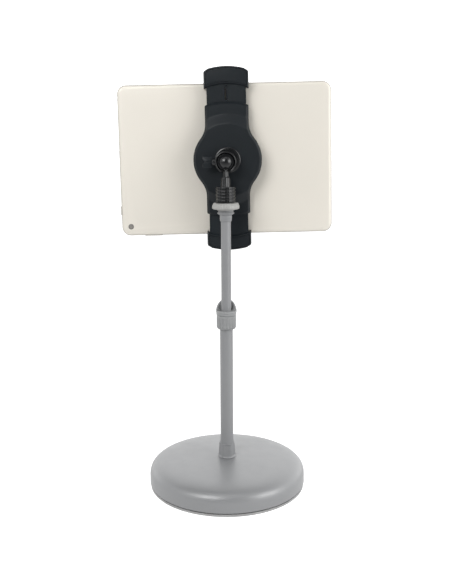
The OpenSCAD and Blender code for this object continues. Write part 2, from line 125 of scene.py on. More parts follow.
class Tree:
    """Short calls that add nodes to a shader tree."""

    def __init__(self, tree):
        self.tree = tree

    def feed(self, socket, value):
        """Links an output into a socket, or sets the socket's own value."""
        if isinstance(value, bpy.types.NodeSocket):
            self.tree.links.new(value, socket)
        elif socket.type == "RGBA":
            socket.default_value = (*value, 1)
        else:
            socket.default_value = value

    def fill(self, node, **inputs):
        """Feeds a node's inputs; an input is named with _ where its name has a space."""
        for name, value in inputs.items():
            self.feed(node.inputs[name.replace("_", " ")], value)
        return node

    def add(self, kind, **inputs):
        return self.fill(self.tree.nodes.new("ShaderNode" + kind), **inputs)

    def axes(self, source):
        return self.add("SeparateXYZ", Vector=source).outputs

    def camera_ray(self):
        """1 where the camera looks straight at something, 0 in reflections and light."""
        return self.add("LightPath").outputs["Is Camera Ray"]

    def math(self, operation, a, b=0.0):
        node = self.add("Math")
        node.operation = operation
        self.feed(node.inputs[0], a)
        self.feed(node.inputs[1], b)
        return node.outputs[0]

    def spread(self, source, low, high, start=0.3, end=0.7, kind="LINEAR"):
        """Takes start..end of a value to low..high, and holds the ends."""
        node = self.add(
            "MapRange", Value=source, From_Min=start, From_Max=end, To_Min=low, To_Max=high
        )
        node.interpolation_type = kind
        return node.outputs[0]


class Material(Tree):
    """Short calls that build one material around its shader."""

    def __init__(self, name):
        self.material = bpy.data.materials.new(name)
        self.material.use_nodes = True
        super().__init__(self.material.node_tree)
        self.tree.nodes.clear()
        self.shader = self.add("BsdfPrincipled")
        self.add("OutputMaterial", Surface=self.shader.outputs[0])
        self.coords = self.add("TexCoord").outputs["Object"]

    def set(self, **inputs):
        self.fill(self.shader, **inputs)

    def noise(self, scale, detail, rough=0.55, stretch=None):
        source = self.coords
        if stretch:
            source = self.add("Mapping", Vector=source, Scale=stretch).outputs[0]
        node = self.add("TexNoise", Vector=source, Scale=scale, Detail=detail, Roughness=rough)
        return node.outputs["Fac"]

    def voronoi(self, scale):
        return self.add("TexVoronoi", Vector=self.coords, Scale=scale).outputs["Distance"]

    def ramp(self, source, dark, light):
        node = self.add("ValToRGB", Fac=source)
        for element, at, color in zip(node.color_ramp.elements, (0.3, 0.7), (dark, light)):
            element.position = at
            element.color = (*color, 1)
        return node.outputs[0]

    def mix(self, factor, a, b):
        node = self.add("Mix")
        node.data_type = "RGBA"
        for i, value in zip(MIX_INPUTS, (factor, a, b)):
            self.feed(node.inputs[i], value)
        return node.outputs[MIX_RESULT]

    def matt(self, scale, detail, low, high):
        """Roughness that wanders between two values."""
        self.set(Roughness=self.spread(self.noise(scale, detail), low, high))

    def edges(self):
        """Bright along sharp outer edges, where paint and moulding wear first."""
        return self.spread(self.add("NewGeometry").outputs["Pointiness"], 0.0, 1.0, 0.52, 0.6)

    def bump(self, source, distance, strength, under=None):
        node = self.add("Bump", Distance=distance, Strength=strength, Height=source)
        if under:
            self.fill(node, Normal=under)
        self.set(Normal=node.outputs[0])
        return node.outputs[0]


def shade(color, factor):
    return tuple(min(1.0, c * factor) for c in color)


def painted(name, color, rough, ior):
    """Enamel on metal: faint tone drift, orange peel, dust specks and worn edges."""
    m = Material(name)
    base = m.ramp(m.noise(28, 5), shade(color, 0.98), shade(color, 1.02))
    worn = m.math("MULTIPLY", m.edges(), m.spread(m.noise(420, 5), 0.0, 0.2, 0.45, 0.7))
    base = m.mix(worn, base, shade(color, 1.25))
    dust = m.spread(m.noise(2600, 2), 0.0, 0.05, 0.62, 0.72)
    m.set(Base_Color=m.mix(dust, base, shade(color, 0.85)), IOR=ior)
    m.matt(90, 6, rough - 0.03, rough + 0.03)
    m.bump(m.noise(620, 3), 0.01 * MM, 0.3)
    return m.material


def moulded(name, color, rough, grain=1900, depth=0.02 * MM, specular=0.3):
    """Moulded plastic with a spark-eroded grain and slightly polished edges."""
    m = Material(name)
    base = m.ramp(m.noise(60, 5), shade(color, 0.95), shade(color, 1.06))
    worn = m.math("MULTIPLY", m.edges(), m.spread(m.noise(500, 4), 0.05, 0.4))
    m.set(Base_Color=m.mix(worn, base, shade(color, 1.8)), Specular_IOR_Level=specular)
    m.matt(260, 6, rough - 0.04, rough + 0.04)
    grain_bump = m.bump(m.noise(grain, 5, 0.7), depth, 0.55)
    m.bump(m.noise(140, 2), depth * 2, 0.25, under=grain_bump)
    return m.material


def metal(name, color, rough, brushed=None, metallic=1.0):
    """Bare or plated metal with drawn lines, stains and fine scratches."""
    m = Material(name)
    stain = m.noise(150, 6)
    lines = m.noise(900, 3, 0.6, brushed)
    base = m.ramp(stain, shade(color, 0.86), shade(color, 1.06))
    drawn = m.spread(lines, 0.0, 0.16, 0.5, 0.75)
    m.set(Base_Color=m.mix(drawn, base, shade(color, 0.6)), Metallic=metallic)
    dull = m.spread(lines, rough - 0.05, rough + 0.08)
    m.set(Roughness=m.math("ADD", dull, m.spread(stain, 0.0, 0.06)))
    m.bump(lines, 0.01 * MM, 0.6)
    return m.material


def rubber(name, color):
    """Matt rubber with a fine skin, bloom and dust."""
    m = Material(name)
    base = m.ramp(m.noise(75, 6), shade(color, 0.88), shade(color, 1.15))
    dust = m.spread(m.noise(1500, 3), 0.0, 0.25, 0.6, 0.75)
    m.set(Base_Color=m.mix(dust, base, shade(color, 1.5)), Specular_IOR_Level=0.3)
    m.matt(330, 4, 0.68, 0.86)
    m.bump(m.noise(2400, 4, 0.7), 0.03 * MM, 0.6)
    return m.material


def blasted(name, color, rough, wall):
    """Anodised aluminium with a bead-blasted skin, with painted shade that darkens the side wall beyond a depth.
    """
    m = Material(name)
    base = m.ramp(m.noise(9, 3), shade(color, 0.985), shade(color, 1.012))
    sparkle = m.spread(m.noise(5200, 2, 0.6), 0.0, 0.1, 0.55, 0.7)
    base = m.mix(sparkle, base, shade(color, 1.12))
    base = m.mix(m.math("MULTIPLY", m.edges(), 0.35), base, shade(color, 1.1))
    # Painted shade: past this depth the colour darkens, drawing the dark rim where the rounded edge turns away.
    side = m.spread(m.axes(m.coords)["Y"], 0.0, 1.0, wall, wall + 0.4 * MM)
    m.set(Base_Color=m.mix(side, base, shade(color, 0.6)), Metallic=0.18)
    m.matt(120, 5, rough - 0.03, rough + 0.04)
    m.bump(m.voronoi(6500), 0.006 * MM, 0.4)
    return m.material


def cast(name, color):
    """A raw iron casting, mottled and coarse."""
    m = Material(name)
    mottle = m.ramp(m.noise(180, 8, 0.7), shade(color, 0.7), shade(color, 1.25))
    m.set(Base_Color=mottle, Metallic=0.6)
    m.matt(300, 5, 0.6, 0.85)
    m.bump(m.noise(420, 8, 0.7), 0.2 * MM, 0.7)
    return m.material


def screen(name):
    """The front glass: a dark display that faces +Y, in a pale border with a small camera."""
    m = Material(name)
    # From the object's coordinates to the tablet's own.
    tilt = math.atan2(head_side.z, head_side.x)
    shift = Matrix.Rotation(tilt, 3, "Y") @ TABLET.translation
    own = m.add("Mapping", Vector=m.coords, Rotation=(0, tilt, 0), Location=tuple(-shift))
    axes = m.axes(own.outputs[0])
    half = (glass_high - glass_low) / 2
    border_x, border_z, soft = 21.5 * MM, 10.5 * MM, 0.2 * MM

    def inside(axis, end):
        return m.spread(m.math("ABSOLUTE", axes[axis]), 1.0, 0.0, end - soft, end + soft)

    def squared(value):
        return m.math("MULTIPLY", value, value)

    display = m.math("MULTIPLY", inside("X", half.x - border_x), inside("Z", half.z - border_z))
    camera_r = 1.5 * MM
    across = m.math("SUBTRACT", axes["X"], half.x - border_x / 2)
    away = m.math("ADD", squared(across), squared(axes["Z"]))
    eye = m.spread(away, 1.0, 0.0, (0.9 * camera_r) ** 2, camera_r ** 2)
    smudge = m.noise(45, 6)
    pale = m.ramp(smudge, (0.72, 0.72, 0.7), (0.76, 0.76, 0.74))
    dark = m.ramp(smudge, (0.010, 0.011, 0.013), (0.016, 0.017, 0.02))
    m.set(Base_Color=m.mix(m.math("MAXIMUM", display, eye), pale, dark))
    m.set(Roughness=m.spread(smudge, 0.04, 0.12), Coat_Weight=0.6, Coat_Roughness=0.04)
    m.bump(m.noise(30, 2), 0.01 * MM, 0.1)
    return m.material


def lens_glass(name):
    m = Material(name)
    m.set(Base_Color=m.ramp(m.voronoi(900), (0.25, 0.238, 0.222), (0.3, 0.285, 0.265)))
    m.set(Coat_Weight=0.6, Coat_Roughness=0.08)
    m.matt(600, 3, 0.12, 0.2)
    return m.material


GREY = (0.225, 0.229, 0.235)
BLACK = (0.0022, 0.0052, 0.0078)
CREAM = (0.735, 0.70, 0.63)

looks = {
    "painted_grey": painted("base_enamel", (0.191, 0.195, 0.201), 0.4, 1.95),
    "cast_grey": cast("rough_casting", (0.12, 0.12, 0.125)),
    "sheet_steel": metal("sheet_steel", (0.55, 0.55, 0.56), 0.35, (1, 12, 1)),
    "screw_steel": metal("screw_steel", (0.42, 0.42, 0.43), 0.3, (1, 1, 8)),
    "rubber_grey": rubber("grey_rubber", (0.30, 0.30, 0.30)),
    "post_grey": painted("post_enamel", GREY, 0.42, 1.5),
    "plastic_grey": moulded("grey_plastic", (0.26, 0.265, 0.268), 0.42),
    "nylon": moulded("natural_nylon", (0.62, 0.60, 0.54), 0.45),
    "zinc": metal("dull_zinc", (0.35, 0.35, 0.337), 0.5, (1, 1, 10), metallic=0.15),
    "black_plastic": moulded("black_plastic", BLACK, 0.5, specular=0.37),
    "ball_black": moulded(
        "ball_plastic", (0.0045, 0.0052, 0.0058), 0.24, 2600, 0.006 * MM, specular=0.62
    ),
    "brass": metal("turned_brass", (0.72, 0.52, 0.22), 0.28, (1, 1, 12)),
    "rubber_black": rubber("black_rubber", (0.018, 0.018, 0.019)),
    "spring_steel": metal("spring_steel", (0.5, 0.5, 0.52), 0.25, (1, 1, 20)),
    # The tablet's side wall gets painted shade from 1 mm past its back.
    "gold_shell": blasted("cream_anodised", CREAM, 0.48, shell_low.y + MM),
    "battery": moulded("battery_wrap", (0.035, 0.038, 0.05), 0.5),
    "screen_glass": screen("screen_glass"),
    "lens_metal": metal("lens_metal", (0.20, 0.19, 0.18), 0.35, metallic=0.5),
    "lens_glass": lens_glass("lens_glass"),
}
node_slot = {s["node"]: s["material_slot"] for s in frame["record"]["subparts"]}


def dress(obj, slot):
    obj.data.materials.clear()
    obj.data.materials.append(looks[slot])


for node, obj in frame["nodes"].items():
    dress(obj, node_slot[node])


# -------------------------------- points and curves

def spaced(start, end, steps):
    """Evenly spaced values, with both ends."""
    return [start + (end - start) * i / steps for i in range(steps + 1)]


def turn_angles(count):
    return [TURN * i / count for i in range(count)]


def polar(r, angle, z):
    return Vector((r * math.cos(angle), r * math.sin(angle), z))


def arc(center, r, start, end, steps):
    """Points on an arc in a plane, such as (radius, height); angles in degrees."""
    angles = [math.radians(a) for a in spaced(start, end, steps)]
    return [(center[0] + r * math.cos(a), center[1] + r * math.sin(a)) for a in angles]


def near(x, y, steps):
    """Points given in millimetres from the place (x, y)."""
    return [(x + dx * MM, y + dy * MM) for dx, dy in steps]


def limit(t):
    return min(1.0, max(0.0, t))


def lay(place, outline, depth):
    """A flat X-Z outline at one depth along Y, in the axes of place."""
    return [place @ Vector((p.x, depth, p.y)) for p in outline]


def rounded_outline(half_x, half_z, corner, steps=14):
    """A rectangle with round corners, anticlockwise in X-Z."""
    points = []
    for x, z, start in ((1, 1, 0), (-1, 1, 90), (-1, -1, 180), (1, -1, 270)):
        center = (x * (half_x - corner), z * (half_z - corner))
        points += arc(center, corner, start, start + 90, steps)
    return [Vector(p) for p in points]


def offset_ring(points, distance):
    """Moves a closed flat outline inwards along its corner normals."""
    moved = []
    for i, point in enumerate(points):
        before = (point - points[i - 1]).normalized()
        after = (points[(i + 1) % len(points)] - point).normalized()
        across = Vector((-(before.y + after.y), before.x + after.x)).normalized()
        lean = max(0.5, across.dot(Vector((-before.y, before.x))))
        moved.append(point + across * distance / lean)
    return moved


def plate_rings(outline, levels, place):
    """Rings for a plate from (inset, depth) levels; outline runs anticlockwise in X-Z."""
    return [lay(place, offset_ring(outline, i) if i else outline, y) for i, y in levels]


# -------------------------------- mesh tools

def put(name, data):
    """A new object in the scene."""
    obj = bpy.data.objects.new(name, data)
    bpy.context.scene.collection.objects.link(obj)
    return obj


def new_object(name, verts, faces):
    mesh = bpy.data.meshes.new(name)
    mesh.from_pydata([tuple(v) for v in verts], [], faces)
    return put(name, mesh)


def clean(obj, sharp=35, merge=0.004 * MM):
    """Merges doubled points, points all faces outwards and smooths gentle edges."""
    work = bmesh.new()
    work.from_mesh(obj.data)
    bmesh.ops.remove_doubles(work, verts=work.verts, dist=merge)
    bmesh.ops.dissolve_degenerate(work, edges=work.edges, dist=merge)
    bmesh.ops.recalc_face_normals(work, faces=work.faces)
    for face in work.faces:
        face.smooth = True
    work.to_mesh(obj.data)
    work.free()
    obj.data.set_sharp_from_angle(angle=math.radians(sharp))
    return obj


def skin(name, rings, closed=False, sharp=35):
    """A surface through rings of equally many points: a closed loop of them, or with end caps."""
    count = len(rings[0])
    faces = []
    for k in range(len(rings) if closed else len(rings) - 1):
        a, b = k * count, ((k + 1) % len(rings)) * count
        for i in range(count):
            j = (i + 1) % count
            faces.append((a + i, a + j, b + j, b + i))
    if not closed:
        faces.append(tuple(range(count)))
        faces.append(tuple((len(rings) - 1) * count + i for i in reversed(range(count))))
    return clean(new_object(name, [p for ring in rings for p in ring], faces), sharp)


def lathe(name, profile, segments=96, closed=True, shape=None, sharp=35, place=Matrix()):
    """Turns (radius, height) points about Z. shape(r, z, angle) may change the radius."""
    rings = [
        [place @ polar(shape(r, z, a) if shape else r, a, z) for a in turn_angles(segments)]
        for r, z in profile
    ]
    return skin(name, rings, closed, sharp)


def apply_modifiers(obj, sharp=35):
    bpy.context.view_layer.update()
    depsgraph = bpy.context.evaluated_depsgraph_get()
    mesh = bpy.data.meshes.new_from_object(obj.evaluated_get(depsgraph))
    obj.modifiers.clear()
    obj.data = mesh
    return clean(obj, sharp)


def bevel(obj, width, segments, angle=30, sharp=35):
    """Rounds over the edges that turn by more than angle."""
    modifier = obj.modifiers.new("bevel", "BEVEL")
    modifier.width = width
    modifier.segments = segments
    modifier.limit_method = "ANGLE"
    modifier.angle_limit = math.radians(angle)
    return apply_modifiers(obj, sharp)


def cut(obj, tools, operation="DIFFERENCE"):
    """Applies booleans with the tool objects, which are removed."""
    for tool in tools:
        modifier = obj.modifiers.new("cut", "BOOLEAN")
        modifier.operation = operation
        modifier.solver = "MANIFOLD"
        modifier.object = tool
    apply_modifiers(obj)
    for tool in tools:
        bpy.data.objects.remove(tool)
    return obj


def join(name, objects, sharp=35):
    """One object from several, in place."""
    work = bmesh.new()
    for obj in objects:
        obj.data.transform(obj.matrix_world)
        work.from_mesh(obj.data)
        bpy.data.objects.remove(obj)
    mesh = bpy.data.meshes.new(name)
    work.to_mesh(mesh)
    work.free()
    mesh.set_sharp_from_angle(angle=math.radians(sharp))
    return put(name, mesh)


def box_tool(low, high, place):
    """A box from one corner to the other, for booleans."""
    corners = [
        place @ Vector((x, y, z)) for z in (low[2], high[2]) for y in (low[1], high[1])
        for x in (low[0], high[0])
    ]
    faces = [(0, 2, 3, 1), (4, 5, 7, 6), (0, 1, 5, 4), (2, 6, 7, 3), (0, 4, 6, 2), (1, 3, 7, 5)]
    return clean(new_object("tool", corners, faces))


def rod_tool(center, r, direction, length, segments=48):
    """A cylinder that starts at a point and runs along a direction."""
    turn = direction.to_track_quat("Z", "Y").to_matrix().to_4x4()
    place = Matrix.Translation(center) @ turn
    return lathe("tool", [(r, 0), (r, length)], segments, closed=False, place=place)


def piece(obj, node, slot=None):
    """Makes obj stand for one CAD node, on the same body and with the same or a named slot."""
    bodies = frame["record"]["behaviour"]["bodies"]
    owner = next(b for b, names in bodies.items() if node in names)
    dress(obj, slot or node_slot[node])
    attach(obj, owner)
    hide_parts(node)


def refine(node, width, segments=3, slot=None, extra=()):
    """A copy of a CAD node's shape with its sharp edges rounded over, and any extra solids."""
    obj = put(node + "_shape", frame["nodes"][node].data.copy())
    obj.data.normals_split_custom_set_from_vertices([(0, 0, 0)] * len(obj.data.vertices))
    if "custom_normal" in obj.data.attributes:
        obj.data.attributes.remove(obj.data.attributes["custom_normal"])
    clean(obj, 30, 0.01 * MM)
    bevel(obj, width, segments, sharp=20)
    if extra:
        obj = join(node + "_shape", [obj, *extra], 20)
    piece(obj, node, slot)


# -------------------------------- base

def make_base_cover():
    """An upright side, a shoulder that tightens slowly, and a shallow dome."""
    r, low, high = measure("base_cover")
    wall = 2 * MM
    side_top = 13 * MM
    lip = 0.8 * MM
    dome_r = 778 * MM
    hole_r = 7.4 * MM
    # The shoulder meets the dome at this radius, with the dome's slope.
    crown = 60 * MM
    slope = crown / dome_r
    crown_z = high - dome_r + math.sqrt(dome_r ** 2 - crown ** 2)
    rise, run = 11.5 * MM, 20 * MM

    def outline(t):
        handles = [
            Vector((r - t, side_top)), Vector((r - t, side_top + rise - t)),
            Vector((crown + (run - t), crown_z - t - slope * run)), Vector((crown, crown_z - t)),
        ]
        curve = []
        for u in spaced(0, 1, 40):
            weights = ((1 - u) ** 3, 3 * u * (1 - u) ** 2, 3 * u * u * (1 - u), u ** 3)
            at = sum((h * w for h, w in zip(handles, weights)), Vector((0, 0)))
            curve.append((at.x, at.y))
        start, end = (90 - math.degrees(math.asin(x / dome_r)) for x in (crown, hole_r))
        return curve + arc((0, high - dome_r), dome_r - t, start, end, 16)[1:]

    profile = [(r - 2.2 * MM, low), (r - lip, low)]
    profile += arc((r - lip, low + lip), lip, -90, 0, 4)
    profile += outline(0) + list(reversed(outline(wall)))
    piece(lathe("base_dome", profile, 160), "base_cover")


def make_foot_pad():
    """A rubber sheet with ring grooves below and a lip around the base's edge."""
    r, high = radius("foot_pad"), top("foot_pad")
    grooves = 7
    profile = near(0, 0, [(0.1, 0.6)])
    for i in range(grooves):
        at = r * (0.2 + 0.72 * i / grooves)
        profile += near(at, 0, [(0, 0.6), (0.5, 0), (6, 0), (6.5, 0.6)])
    profile += near(r, 0, [(-1.6, 0.6), (-1.4, 0)])
    profile += arc((r - 0.3 * MM, 0.8 * MM), 0.8 * MM, -90, 0, 4)
    lip, neck = high - 0.9 * MM, r - 2.4 * MM
    profile += arc((r, lip - 0.5 * MM), 0.5 * MM, 0, 90, 4)
    profile += [(neck, lip), (neck, high), (POLE, high)]
    piece(lathe("base_pad", profile, 160), "foot_pad")


def hexagon(angle, r, flat):
    """Radius of a circle of radius r with six flats at distance flat."""
    step = math.pi / 3
    off = (angle % step) - step / 2
    return min(r, flat / math.cos(off))


def make_collar():
    """A tapered collar whose six flats fade into round rims."""
    foot_r, low, high = measure("base_collar")
    head_r = foot_r - 1.4 * MM
    bore = radius("lower_tube") + FIT
    profile = near(foot_r, low, [(-0.2, 0), (0, 0.3), (-0.1, 0.8), (-0.35, 1.4)])
    taper = 8
    profile += zip(
        spaced(foot_r - 0.5 * MM, head_r, taper), spaced(low + 2 * MM, high - 1.2 * MM, taper)
    )
    profile += near(head_r, high, [(0.1, -1.0), (0.1, -0.4), (-0.25, 0)])
    # How near to the axis the flats come, as a share of the radius.
    flats = [1.0, 1.0, 0.97, 0.93] + [0.905] * (taper + 1) + [0.94, 0.95, 0.97]
    angles = turn_angles(144)
    rings = [
        [polar(hexagon(a, r, r * share), a, z) for a in angles]
        for (r, z), share in zip(profile, flats)
    ]
    rings += [[polar(bore, a, z) for a in angles] for z in (high, low)]
    piece(skin("post_collar", rings, closed=True, sharp=22), "base_collar")


def make_tube(name, node, bore, flare=0.0):
    """A tube with rounded rims, which may widen a little towards its foot."""
    r, low, high = measure(node)
    rim = min(0.3 * MM, (r - bore) / 3)
    profile = [(bore, low), (r + flare, low)]
    if flare:
        start, end = low + 16.5 * MM, low + 28.5 * MM
        profile += [
            (r + flare * (1 - t) ** 2, start + (end - start) * t) for t in spaced(0, 1, 8)
        ]
    profile += arc((r - rim, high - rim), rim, 0, 90, 4)
    profile += arc((bore + rim, high - rim), rim, 90, 180, 4)
    piece(lathe(name, profile), node)


# -------------------------------- clutch

def make_clutch_body():
    """A round-bottomed grip with flutes that run out just below its top."""
    r, low, high = measure("clutch_body")
    bore = radius("lower_tube") + FIT
    corner = 3 * MM
    flutes, depth = 18, 0.65 * MM
    fade_end, fade_run = high - 1.6 * MM, 1.2 * MM

    def fluted(at, z, angle):
        if at < r - corner:
            return at
        wave = (0.5 - 0.5 * math.cos(flutes * angle)) ** 4
        return at - depth * wave * limit((fade_end - z) / fade_run)

    profile = [(bore, low)] + arc((r - corner, low + corner), corner, -90, 0, 10)
    profile += [(r, z) for z in spaced(low + corner, high - 0.5 * MM, 12)[1:]]
    profile += [(r - 0.4 * MM, high), (bore, high)]
    piece(lathe("clutch_grip", profile, 216, shape=fluted), "clutch_body")


def make_clutch_lever():
    """A low ring that rises to a thumb tab at +Y, with a slope inside it."""
    r, low = radius("clutch_lever"), bottom("clutch_lever")
    flat = low + 4.5 * MM
    inner = 9.3 * MM
    rings = []
    for angle in turn_angles(180):
        lift = r * max(0.0, math.sin(angle))
        crown = flat + max(0.25 * MM, lift - 0.05 * MM)
        soft = min(0.8 * MM, (crown - flat) * 0.45 + 0.1 * MM)
        section = near(0, flat, [(5.9, 0), (6.5, 0), (6.9, 0.1)])
        section += [(inner, crown - soft), (inner + 0.35 * soft, crown - 0.25 * soft)]
        section += [(inner + soft, crown), (r - soft, crown)]
        section += [(r - 0.3 * soft, crown - 0.25 * soft), (r, crown - soft)]
        section += near(r, low, [(0, 3.2), (-0.35, 2.9), (-0.35, 0.5), (-0.8, 0)])
        section += near(0, low, [(7.4, 0)]) + near(0, flat, [(7.4, -1.3), (5.9, -1.3)])
        rings.append([polar(at, angle, z) for at, z in section])
    piece(skin("clutch_ring", rings, closed=True, sharp=38), "clutch_lever")


# -------------------------------- stud, ring and ferrule

def make_stud():
    """The crimped skirt around the inner tube's end, a bead, a neck and the thread."""
    bead_r, low, high = measure("top_stud")
    bore, end = radius("upper_tube") + FIT, top("upper_tube") + FIT
    bead = low + 9 * MM
    skirt, neck, stud = 6.6 * MM, 8.25 * MM, 7.9 * MM
    profile = [(POLE, end), (bore, end), (bore, low), (bore + 0.5 * MM, low)]
    profile += near(skirt, low, [(-0.2, 0.5), (0, 1.4), (-0.25, 1.9), (0, 2.4)])
    profile += near(skirt, bead, [(0, -2.4), (0.8, -1.6)])
    profile += arc((bead_r - 0.9 * MM, bead + 0.1 * MM), 0.9 * MM, -50, 60, 8)
    profile += near(neck, bead, [(0, 1.5), (0, 3.4)]) + near(stud, bead, [(0, 3.4)])
    pitch = 0.94 * MM
    for i in range(int((high - bead - 4.6 * MM) / pitch)):
        z = bead + 3.8 * MM + i * pitch
        profile += [(stud, z), (stud, z + 0.25 * pitch), (stud - 0.45 * MM, z + 0.62 * pitch)]
    profile += [(stud - 0.8 * MM, high), (POLE, high)]
    piece(lathe("thread_stud", profile), "top_stud", "post_grey")


def make_lock_ring():
    """A dished and rounded underside, and a lightly fluted bevel above the waist."""
    r, low, high = measure("lock_ring")
    bore = 7.96 * MM
    waist = low + 4.4 * MM
    crown_r = 13.7 * MM
    flutes, depth = 32, 0.5 * MM

    def fluted(at, z, angle):
        if at < crown_r - 0.6 * MM or z < waist - 0.4 * MM:
            return at
        return at - depth * (0.5 + 0.5 * math.cos(flutes * angle)) ** 2

    profile = [(bore, low)] + near(0, low, [(9.6, 0), (10.2, 0.9), (11.5, 1.15)])
    profile += arc((r - 1.4 * MM, low + 2.6 * MM), 1.4 * MM, -80, 0, 10)
    profile += zip(spaced(r, crown_r, 8), spaced(waist, high - 0.5 * MM, 8))
    profile += near(crown_r, high, [(-0.3, -0.15), (-0.8, 0)]) + [(bore, high)]
    piece(lathe("pale_ring", profile, flutes * 10, shape=fluted, sharp=42), "lock_ring")


def make_ferrule():
    """A thread ferrule with rows of square teeth and a seat for the stem."""
    r, low, high = measure("ferrule")
    bore = radius("thread_insert") + FIT
    seat = 5.32 * MM
    tail = top("ball_stud") - 37.5 * MM
    columns, rows, per_tooth = 24, 5, 14
    depth = 0.8 * MM
    row = (high - low) / rows

    def tooth(phase, width):
        """1 on a tooth, 0 in the groove beside it, with short slopes."""
        edge = abs((phase % 1.0) - 0.5) * 2
        return limit((width - edge) / 0.2)

    def knurl(at, z, angle):
        if at < r - 1.2 * MM:
            return at
        share = tooth(columns * angle / TURN, 0.76) * tooth((z - low) / row, 0.74)
        return at - depth * (1 - share)

    profile = [(bore, low), (r, low)]
    profile += [(r, low + row * k / per_tooth) for k in range(1, rows * per_tooth)]
    profile += [(r, high), (r - 1.3 * MM, high), (seat + 0.6 * MM, high)]
    profile += [(seat, high - 0.4 * MM), (seat, tail), (bore, tail)]
    ferrule = lathe("knurled_ferrule", profile, columns * per_tooth, shape=knurl, sharp=30)
    piece(ferrule, "ferrule", "ball_black")


def make_ball_stud():
    """A flange, a sleeve with shallow flats, a ribbed neck and the ball."""
    flange, low, high = measure("ball_stud")
    flange_top = low + 2.4 * MM
    r = 8.5 * MM
    center = high - r
    sleeve, neck, neck_end = 5.3 * MM, 3.5 * MM, 2.8 * MM
    sleeve_end = center - 16.8 * MM
    ribs = 4

    def ribbed(at, z, angle):
        if z > center - r * 0.92 or z < low + 2.5 * MM:
            return at
        if z > sleeve_end:
            return at * (0.8 + 0.2 * abs(math.cos(ribs * angle / 2 + math.pi / 4)) ** 1.5)
        return at * (0.93 + 0.07 * (0.5 + 0.5 * math.cos(2 * ribs * angle)))

    join_angle = math.asin(neck / r)
    profile = [(POLE, low), (flange, low), (flange, flange_top), (sleeve, flange_top)]
    profile += [(sleeve, flange_top + 0.2 * MM), (sleeve, sleeve_end - 0.5 * MM)]
    profile += arc((sleeve - 0.6 * MM, sleeve_end - 0.5 * MM), 0.6 * MM, 0, 70, 4)
    profile += near(neck, sleeve_end, [(0.5, 0.3), (0, 0.9)])
    foot, head = sleeve_end + 1.2 * MM, center - r * math.cos(join_angle)
    profile += list(zip(spaced(neck, neck_end, 8), spaced(foot, head, 8)))[:-1]
    profile += arc((0, center), r, math.degrees(join_angle) - 90, 89.5, 40)
    piece(lathe("ball_and_stem", profile, 144, shape=ribbed), "ball_stud")


# -------------------------------- socket and thumb screw

def make_socket():
    """A cup with a slot for the stem and a boss, on a finely notched round flange."""
    low, high = own_box("socket", HEAD)
    mouth, back = low.y, high.y
    flange_r = own_box("socket", CLAMP)[1].z
    # The flange lies between these two depths, and the hub goes on from it.
    flange, plate = 10.5 * MM, 14.2 * MM
    cup_r, cavity, lip = 11.65 * MM, 9.96 * MM, 0.83 * MM
    hub_r, screw_r, screw_depth = 6 * MM, 1.6 * MM, 4.2 * MM
    notches = 44

    def notched(at, y, angle):
        if at < flange_r - 0.9 * MM or y < flange + 0.6 * MM:
            return at
        return at - 0.45 * MM * (0.5 + 0.5 * math.cos(notches * angle)) ** 3

    profile = arc((cup_r - lip, mouth + lip), lip, -180, 0, 12)
    profile += near(cup_r, mouth, [(0, 2.4), (-0.35, 2.8)])
    profile += near(cup_r, flange, [(-0.35, -1.4), (0, -0.2), (0, 1)]) + [(POLE, flange + MM)]
    profile += arc((0, 0), cavity, 89.5, 0, 22)
    cup = lathe("ball_cup", profile, 160, place=HEAD @ Z_TO_Y)
    profile = [(POLE, flange)]
    profile += near(flange_r, flange, [(-1.2, 0), (-0.4, 0.4), (0, 1), (0, 1.8)])
    profile += near(flange_r, plate, [(0, -0.4), (-0.4, 0)])
    profile += [(hub_r, plate), (hub_r, back), (screw_r, back)]
    profile += [(screw_r, back - screw_depth), (POLE, back - screw_depth)]
    disc = lathe("flange", profile, notches * 8, shape=notched, place=CLAMP @ Z_TO_Y)
    cut(cup, [disc], "UNION")

    wing_hole = 2.56 * MM
    profile = near(wing_hole, 0, [(0, -14.3)])
    profile += near(0, 0, [(3.7, -14.3), (4.2, -13.8), (4.2, -10.6)])
    profile += near(wing_hole, 0, [(0, -10.6)])
    boss = lathe("boss", profile, 64, place=HEAD @ Z_TO_X)
    slot = box_tool((-5.25 * MM, mouth - MM, -20 * MM), (5.25 * MM, 4.7 * MM, 0), HEAD)
    bore = rod_tool(HEAD @ Vector((-20 * MM, 0, 0)), wing_hole, head_side, 12 * MM)
    cut(cup, [slot, bore])
    bevel(cup, 0.3 * MM, 2, 50)
    piece(join("ball_cup", [cup, boss]), "socket", "ball_black")


